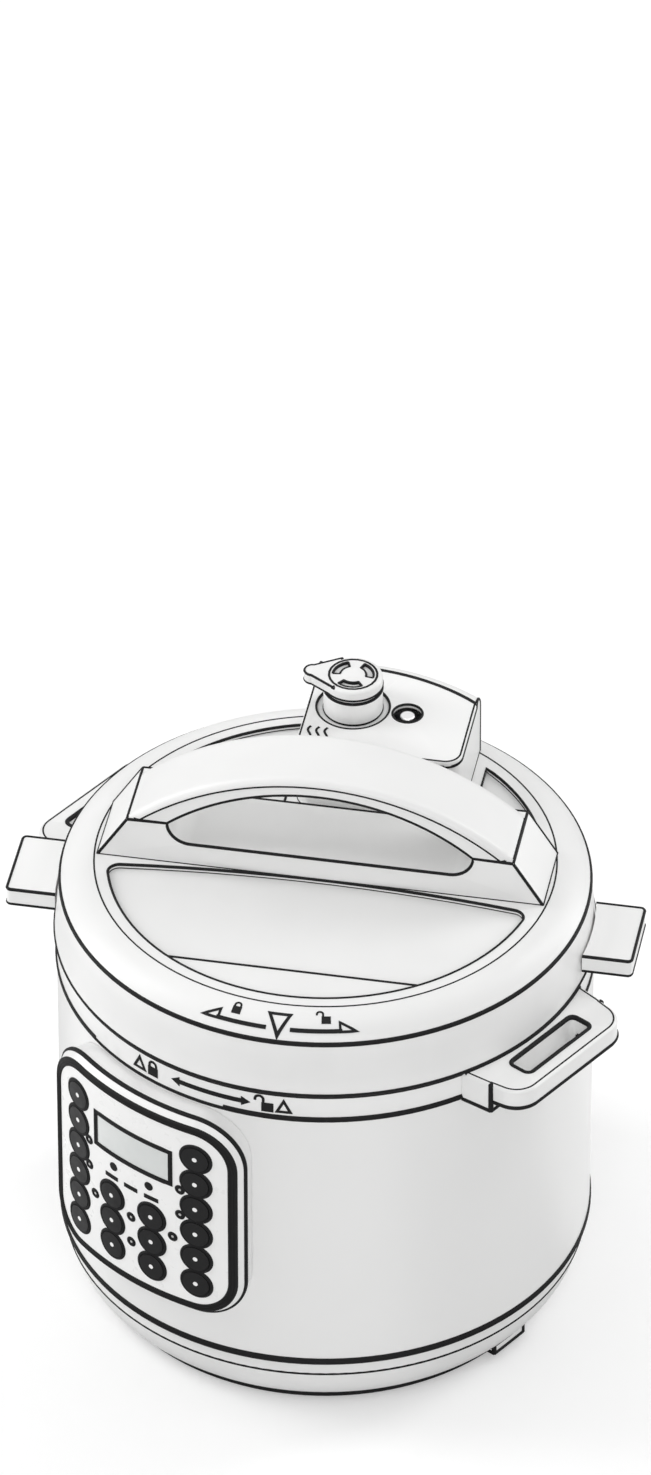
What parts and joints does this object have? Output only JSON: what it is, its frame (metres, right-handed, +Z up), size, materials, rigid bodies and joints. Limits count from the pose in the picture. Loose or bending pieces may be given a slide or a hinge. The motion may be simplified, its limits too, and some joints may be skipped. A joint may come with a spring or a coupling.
{
  "type": "electric pressure cooker",
  "caption": "Countertop electric pressure cooker with a control panel, a removable steel pot, a bayonet lid with a handle, a valve tower and a steam release knob.",
  "frame": {"origin": "middle of the foot ring's underside, where the cooker stands", "axes": "+Z up, the control panel faces -Y, the side handles lie along X"},
  "size_m": [0.336, 0.3114, 0.3285],
  "materials": {
    "shell_plastic": "fine satin moulded plastic",
    "sleeve_paint": "smooth satin paint on steel",
    "dark_trim": "fine matte moulded plastic",
    "key_plastic": "soft matte",
    "fascia_film": "satin film",
    "window_pane": "clear gloss",
    "lamp_lens": "frosted",
    "pot_steel": "polished outside, brushed inside",
    "pressed_steel": "satin",
    "chamber_alloy": "matte rolled",
    "cast_alloy": "cast and turned",
    "spring_steel": "bright wire",
    "circuit_board": "solder mask",
    "component_case": "moulded",
    "seal_silicone": "translucent silicone",
    "cup_plastic": "clear gloss",
    "fastener_steel": "zinc plated"
  },
  "bodies": {
    "base": {"bottom_cover": "shell_plastic", "foot_ring": "dark_trim", "housing_sleeve": "sleeve_paint", "upper_collar": "shell_plastic", "handle_right": "shell_plastic", "handle_left": "shell_plastic", "cooking_chamber": "chamber_alloy", "bayonet_ring": "pressed_steel", "heating_plate": "cast_alloy", "heater_terminals": "spring_steel", "thermal_fuse": "component_case", "pressure_switch": "component_case", "sensor_holder": "dark_trim", "sensor_spring": "spring_steel", "power_board": "circuit_board", "board_components": "component_case", "mains_inlet": "dark_trim", "panel_bezel": "shell_plastic", "panel_fascia": "fascia_film", "display_window": "window_pane", "indicator_lenses": "lamp_lens", "control_board": "circuit_board", "display_module": "component_case", "key_switches": "component_case"},
    "pot": {"inner_pot": "pot_steel"},
    "seal": {"sealing_ring": "seal_silicone"},
    "lid": {"lid_plate": "pressed_steel", "lid_skirt": "shell_plastic", "lid_fin_right": "shell_plastic", "lid_fin_left": "shell_plastic", "lid_cover": "shell_plastic", "handle_cover": "shell_plastic", "tower_cap": "shell_plastic", "vent_pipe": "pressed_steel", "vent_shield": "pressed_steel", "seal_rack": "pressed_steel", "lid_screws": "fastener_steel"},
    "knob": {"steam_release_knob": "shell_plastic"},
    "float": {"float_valve": "pressed_steel", "float_seal": "seal_silicone"},
    "sensor": {"temperature_sensor": "chamber_alloy"},
    "collector": {"condensation_cup": "cup_plastic"},
    "key_01": {"key_01": "key_plastic"},
    "key_02": {"key_02": "key_plastic"},
    "key_03": {"key_03": "key_plastic"},
    "key_04": {"key_04": "key_plastic"},
    "key_05": {"key_05": "key_plastic"},
    "key_06": {"key_06": "key_plastic"},
    "key_07": {"key_07": "key_plastic"},
    "key_08": {"key_08": "key_plastic"},
    "key_09": {"key_09": "key_plastic"},
    "key_10": {"key_10": "key_plastic"},
    "key_11": {"key_11": "key_plastic"},
    "key_12": {"key_12": "key_plastic"},
    "key_13": {"key_13": "key_plastic"},
    "key_14": {"key_14": "key_plastic"},
    "key_15": {"key_15": "key_plastic"},
    "key_16": {"key_16": "key_plastic"},
    "key_17": {"key_17": "key_plastic"},
    "key_18": {"key_18": "key_plastic"}
  },
  "joints": [
    {"name": "pot_lift", "type": "slide", "parent": "base", "child": "pot", "axis": [0, 0, 1], "range_m": [0, 0.172]},
    {"name": "lid_lift", "type": "slide", "parent": "pot", "child": "seal", "axis": [0, 0, 1], "range_m": [0, 0.214]},
    {"name": "lid_turn", "type": "hinge", "parent": "seal", "child": "lid", "pos_m": [0, 0, 0.24], "axis": [0, 0, -1], "range_deg": [0, 30]},
    {"name": "release_turn", "type": "hinge", "parent": "lid", "child": "knob", "pos_m": [-0.0395, 0.06842, 0.304], "axis": [0, 0, 1], "range_deg": [-45, 0]},
    {"name": "float_valve_rise", "type": "slide", "parent": "lid", "child": "float", "axis": [0, 0, -1], "range_m": [-0.005, 0]},
    {"name": "sensor_press", "type": "slide", "parent": "base", "child": "sensor", "axis": [0, 0, 1], "range_m": [-0.003, 0], "stiffness_N_per_m": 600, "springref_m": 0.003, "deforming": ["sensor_spring"]},
    {"name": "collector_slide", "type": "slide", "parent": "base", "child": "collector", "axis": [0, -1, 0], "range_m": [-0.05, 0]},
    {"name": "touch_key_01", "type": "slide", "parent": "base", "child": "key_01", "axis": [0, -1, 0], "range_m": [-0.0006, 0], "stiffness_N_per_m": 400, "springref_m": 0.001},
    {"name": "touch_key_02", "type": "slide", "parent": "base", "child": "key_02", "axis": [0, -1, 0], "range_m": [-0.0006, 0], "stiffness_N_per_m": 400, "springref_m": 0.001},
    {"name": "touch_key_03", "type": "slide", "parent": "base", "child": "key_03", "axis": [0, -1, 0], "range_m": [-0.0006, 0], "stiffness_N_per_m": 400, "springref_m": 0.001},
    {"name": "touch_key_04", "type": "slide", "parent": "base", "child": "key_04", "axis": [0, -1, 0], "range_m": [-0.0006, 0], "stiffness_N_per_m": 400, "springref_m": 0.001},
    {"name": "touch_key_05", "type": "slide", "parent": "base", "child": "key_05", "axis": [0, -1, 0], "range_m": [-0.0006, 0], "stiffness_N_per_m": 400, "springref_m": 0.001},
    {"name": "touch_key_06", "type": "slide", "parent": "base", "child": "key_06", "axis": [0, -1, 0], "range_m": [-0.0006, 0], "stiffness_N_per_m": 400, "springref_m": 0.001},
    {"name": "touch_key_07", "type": "slide", "parent": "base", "child": "key_07", "axis": [0, -1, 0], "range_m": [-0.0006, 0], "stiffness_N_per_m": 400, "springref_m": 0.001},
    {"name": "touch_key_08", "type": "slide", "parent": "base", "child": "key_08", "axis": [0, -1, 0], "range_m": [-0.0006, 0], "stiffness_N_per_m": 400, "springref_m": 0.001},
    {"name": "touch_key_09", "type": "slide", "parent": "base", "child": "key_09", "axis": [0, -1, 0], "range_m": [-0.0006, 0], "stiffness_N_per_m": 400, "springref_m": 0.001},
    {"name": "touch_key_10", "type": "slide", "parent": "base", "child": "key_10", "axis": [0, -1, 0], "range_m": [-0.0006, 0], "stiffness_N_per_m": 400, "springref_m": 0.001},
    {"name": "touch_key_11", "type": "slide", "parent": "base", "child": "key_11", "axis": [0, -1, 0], "range_m": [-0.0006, 0], "stiffness_N_per_m": 400, "springref_m": 0.001},
    {"name": "touch_key_12", "type": "slide", "parent": "base", "child": "key_12", "axis": [0, -1, 0], "range_m": [-0.0006, 0], "stiffness_N_per_m": 400, "springref_m": 0.001},
    {"name": "touch_key_13", "type": "slide", "parent": "base", "child": "key_13", "axis": [0, -1, 0], "range_m": [-0.0006, 0], "stiffness_N_per_m": 400, "springref_m": 0.001},
    {"name": "touch_key_14", "type": "slide", "parent": "base", "child": "key_14", "axis": [0, -1, 0], "range_m": [-0.0006, 0], "stiffness_N_per_m": 400, "springref_m": 0.001},
    {"name": "touch_key_15", "type": "slide", "parent": "base", "child": "key_15", "axis": [0, -1, 0], "range_m": [-0.0006, 0], "stiffness_N_per_m": 400, "springref_m": 0.001},
    {"name": "touch_key_16", "type": "slide", "parent": "base", "child": "key_16", "axis": [0, -1, 0], "range_m": [-0.0006, 0], "stiffness_N_per_m": 400, "springref_m": 0.001},
    {"name": "touch_key_17", "type": "slide", "parent": "base", "child": "key_17", "axis": [0, -1, 0], "range_m": [-0.0006, 0], "stiffness_N_per_m": 400, "springref_m": 0.001},
    {"name": "touch_key_18", "type": "slide", "parent": "base", "child": "key_18", "axis": [0, -1, 0], "range_m": [-0.0006, 0], "stiffness_N_per_m": 400, "springref_m": 0.001}
  ]
}
